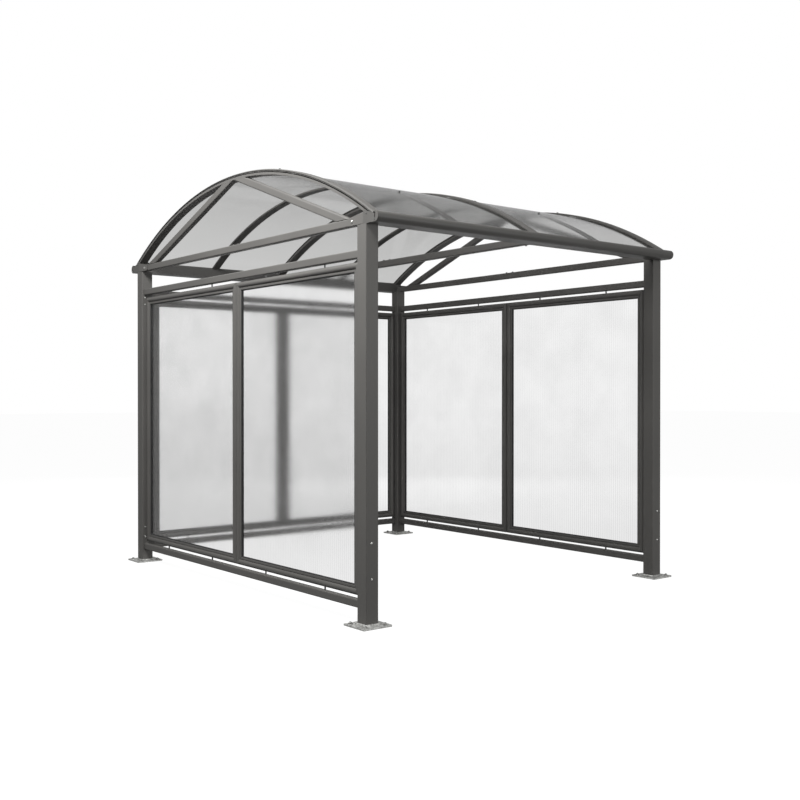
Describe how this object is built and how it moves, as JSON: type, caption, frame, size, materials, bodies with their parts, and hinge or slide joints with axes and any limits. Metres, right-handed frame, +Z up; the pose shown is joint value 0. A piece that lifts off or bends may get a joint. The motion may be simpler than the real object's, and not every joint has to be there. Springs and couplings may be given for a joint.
{
  "type": "bike shelter",
  "caption": "Open-fronted bike shelter with square posts on base plates, glazed walls and a barrel-vault roof of curved clear sheets under cover strips.",
  "frame": {"origin": "on the ground in the middle of the plan", "axes": "X along the eaves from the left gable to the right gable, Y from the open front to the back wall, Z up"},
  "size_m": [2.724, 3.2158, 2.7657],
  "materials": {
    "coated_steel": "satin powder coat",
    "coated_aluminium": "satin powder coat",
    "galvanised_steel": "hot-dip galvanised",
    "dark_fixings": "satin",
    "wall_polycarbonate": "clear fluted sheet",
    "roof_polycarbonate": "smoke-tinted sheet"
  },
  "bodies": {
    "root": {"front_left_post": "coated_steel", "front_left_base_plate": "galvanised_steel", "front_right_post": "coated_steel", "front_right_base_plate": "galvanised_steel", "back_left_post": "coated_steel", "back_left_base_plate": "galvanised_steel", "back_right_post": "coated_steel", "back_right_base_plate": "galvanised_steel", "front_eave_beam": "coated_aluminium", "front_eave_end_caps": "coated_aluminium", "back_eave_beam": "coated_aluminium", "back_eave_end_caps": "coated_aluminium", "left_tie_beam": "coated_steel", "left_arch": "coated_steel", "left_cover_strip": "coated_aluminium", "middle_tie_beam": "coated_steel", "middle_arch": "coated_steel", "middle_cover_strip": "coated_aluminium", "right_tie_beam": "coated_steel", "right_arch": "coated_steel", "right_cover_strip": "coated_aluminium", "left_roof_rib": "coated_steel", "left_gable_braces": "coated_steel", "left_joint_plates": "coated_steel", "left_roof_sheet": "roof_polycarbonate", "right_roof_rib": "coated_steel", "right_gable_braces": "coated_steel", "right_joint_plates": "coated_steel", "right_roof_sheet": "roof_polycarbonate", "left_wall_rails": "coated_steel", "left_wall_spacers": "dark_fixings", "left_wall_frame_1": "coated_aluminium", "left_wall_pane_1": "wall_polycarbonate", "left_wall_frame_2": "coated_aluminium", "left_wall_pane_2": "wall_polycarbonate", "right_wall_rails": "coated_steel", "right_wall_spacers": "dark_fixings", "right_wall_frame_1": "coated_aluminium", "right_wall_pane_1": "wall_polycarbonate", "right_wall_frame_2": "coated_aluminium", "right_wall_pane_2": "wall_polycarbonate", "back_wall_rails": "coated_steel", "back_wall_spacers": "dark_fixings", "back_wall_frame_1": "coated_aluminium", "back_wall_pane_1": "wall_polycarbonate", "back_wall_frame_2": "coated_aluminium", "back_wall_pane_2": "wall_polycarbonate"}
  },
  "joints": []
}
